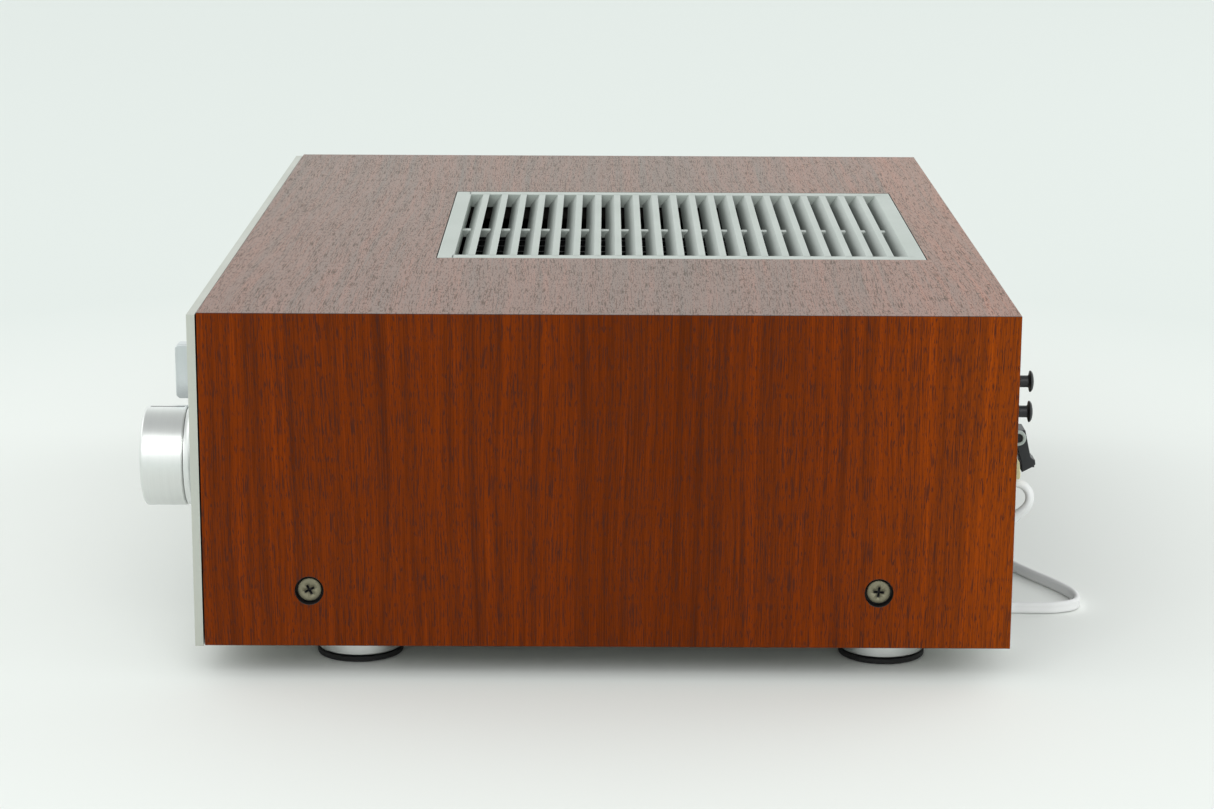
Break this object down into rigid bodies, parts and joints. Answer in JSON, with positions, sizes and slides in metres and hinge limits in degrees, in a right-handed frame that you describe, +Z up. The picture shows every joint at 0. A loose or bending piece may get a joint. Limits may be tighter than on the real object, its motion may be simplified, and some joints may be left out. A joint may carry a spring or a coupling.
{
  "type": "integrated amplifier",
  "caption": "Integrated stereo amplifier in a walnut case with an aluminium front, turned knobs, a louvred top grille, round feet and a mains cord.",
  "frame": {"origin": "middle of the width of the case, 7.25 mm ahead of the middle of its depth, on the plane that the four rubber feet stand on", "axes": "+X to the right seen from the front, +Y to the rear, +Z up"},
  "size_m": [0.522, 0.4057, 0.1532],
  "materials": {
    "walnut": "oiled satin veneer",
    "grey_enamel": "satin grey enamel on cast aluminium",
    "brushed_aluminium": "fine brushed, anodised",
    "turned_aluminium": "fine turned, anodised",
    "black_steel": "matt black paint",
    "zinc_steel": "zinc plated",
    "nickel_screw": "nickel plated, dull",
    "black_rubber": "matt",
    "black_plastic": "moulded satin",
    "phenolic": "brown phenolic sheet",
    "core_iron": "varnished laminations",
    "winding": "copper wire under yellow paper",
    "blue_sleeve": "aluminium can in a blue plastic sleeve",
    "black_anodised": "black anodised extrusion",
    "cord_vinyl": "pale grey flexible vinyl",
    "ivory_nylon": "moulded nylon"
  },
  "bodies": {
    "housing": {"wood_cabinet": "walnut", "top_grille": "grey_enamel", "front_panel": "brushed_aluminium", "sub_panel": "black_steel", "chassis_tray": "zinc_steel", "rear_panel": "black_steel", "foot_front_left": "turned_aluminium", "foot_front_right": "turned_aluminium", "foot_rear_left": "turned_aluminium", "foot_rear_right": "turned_aluminium", "foot_pad_front_left": "black_rubber", "foot_pad_front_right": "black_rubber", "foot_pad_rear_left": "black_rubber", "foot_pad_rear_right": "black_rubber", "case_screw_front_left": "nickel_screw", "case_screw_front_right": "nickel_screw", "case_screw_rear_left": "nickel_screw", "case_screw_rear_right": "nickel_screw", "transformer_core": "core_iron", "transformer_coil": "winding", "filter_capacitor_front": "blue_sleeve", "filter_capacitor_rear": "blue_sleeve", "heat_sink_left": "black_anodised", "heat_sink_right": "black_anodised", "power_amp_board": "phenolic", "phono_board": "phenolic", "volume_pot": "zinc_steel", "selector_switch": "zinc_steel", "speaker_switch": "zinc_steel", "bass_pot": "zinc_steel", "treble_pot": "zinc_steel", "balance_pot": "zinc_steel", "power_switch": "black_plastic", "mode_switch_bank": "zinc_steel", "headphone_jack": "zinc_steel", "jack_strip": "phenolic", "speaker_terminal_block": "black_plastic", "strain_relief": "ivory_nylon", "cord_lead": "cord_vinyl", "cord_coil": "cord_vinyl", "cord_tail": "cord_vinyl", "mains_plug": "black_plastic"},
    "volume": {"volume_knob": "turned_aluminium", "volume_dial": "turned_aluminium", "volume_shaft": "zinc_steel"},
    "selector": {"selector_knob": "brushed_aluminium"},
    "speaker_select": {"speaker_knob": "turned_aluminium"},
    "bass": {"bass_knob": "turned_aluminium"},
    "treble": {"treble_knob": "turned_aluminium"},
    "balance": {"balance_knob": "turned_aluminium"},
    "power": {"power_lever": "brushed_aluminium"},
    "tape": {"tape_lever": "brushed_aluminium"},
    "loudness": {"loudness_lever": "brushed_aluminium"},
    "filter": {"filter_lever": "brushed_aluminium"},
    "terminal_1": {"speaker_lever_1": "black_plastic"},
    "terminal_2": {"speaker_lever_2": "black_plastic"},
    "terminal_3": {"speaker_lever_3": "black_plastic"},
    "terminal_4": {"speaker_lever_4": "black_plastic"},
    "upper_plug": {"shorting_plug_upper": "black_plastic"},
    "lower_plug": {"shorting_plug_lower": "black_plastic"}
  },
  "joints": [
    {"name": "volume_turn", "type": "hinge", "parent": "housing", "child": "volume", "pos_m": [0.17, -0.18175, 0.0832], "axis": [0, 1, 0], "range_deg": [-150, 150]},
    {"name": "selector_turn", "type": "hinge", "parent": "housing", "child": "selector", "pos_m": [0.14, -0.16975, 0.1131], "axis": [0, 1, 0], "range_deg": [-60, 60]},
    {"name": "speaker_turn", "type": "hinge", "parent": "housing", "child": "speaker_select", "pos_m": [-0.14, -0.17075, 0.0832], "axis": [0, 1, 0], "range_deg": [-60, 60]},
    {"name": "bass_turn", "type": "hinge", "parent": "housing", "child": "bass", "pos_m": [-0.085, -0.17075, 0.0832], "axis": [0, 1, 0], "range_deg": [-150, 150]},
    {"name": "treble_turn", "type": "hinge", "parent": "housing", "child": "treble", "pos_m": [-0.038, -0.17075, 0.0832], "axis": [0, 1, 0], "range_deg": [-150, 150]},
    {"name": "balance_turn", "type": "hinge", "parent": "housing", "child": "balance", "pos_m": [0.009, -0.17075, 0.0832], "axis": [0, 1, 0], "range_deg": [-150, 150]},
    {"name": "power_flip", "type": "hinge", "parent": "housing", "child": "power", "pos_m": [-0.185, -0.15275, 0.1131], "axis": [1, 0, 0], "range_deg": [-24, 0]},
    {"name": "tape_flip", "type": "hinge", "parent": "housing", "child": "tape", "pos_m": [0.055, -0.15275, 0.0482], "axis": [1, 0, 0], "range_deg": [-14, 14]},
    {"name": "loudness_flip", "type": "hinge", "parent": "housing", "child": "loudness", "pos_m": [0.075, -0.15275, 0.0482], "axis": [1, 0, 0], "range_deg": [-14, 14]},
    {"name": "filter_flip", "type": "hinge", "parent": "housing", "child": "filter", "pos_m": [0.095, -0.15275, 0.0482], "axis": [1, 0, 0], "range_deg": [-14, 14]},
    {"name": "terminal_press_1", "type": "hinge", "parent": "housing", "child": "terminal_1", "pos_m": [0.143, 0.18125, 0.0882], "axis": [1, 0, 0], "range_deg": [-10, 0], "stiffness_Nm_per_rad": 0.15},
    {"name": "terminal_press_2", "type": "hinge", "parent": "housing", "child": "terminal_2", "pos_m": [0.115, 0.18125, 0.0882], "axis": [1, 0, 0], "range_deg": [-10, 0], "stiffness_Nm_per_rad": 0.15},
    {"name": "terminal_press_3", "type": "hinge", "parent": "housing", "child": "terminal_3", "pos_m": [0.087, 0.18125, 0.0882], "axis": [1, 0, 0], "range_deg": [-10, 0], "stiffness_Nm_per_rad": 0.15},
    {"name": "terminal_press_4", "type": "hinge", "parent": "housing", "child": "terminal_4", "pos_m": [0.059, 0.18125, 0.0882], "axis": [1, 0, 0], "range_deg": [-10, 0], "stiffness_Nm_per_rad": 0.15},
    {"name": "upper_plug_pull", "type": "slide", "parent": "housing", "child": "upper_plug", "axis": [0, 1, 0], "range_m": [0, 0.012]},
    {"name": "lower_plug_pull", "type": "slide", "parent": "housing", "child": "lower_plug", "axis": [0, 1, 0], "range_m": [0, 0.012]}
  ]
}
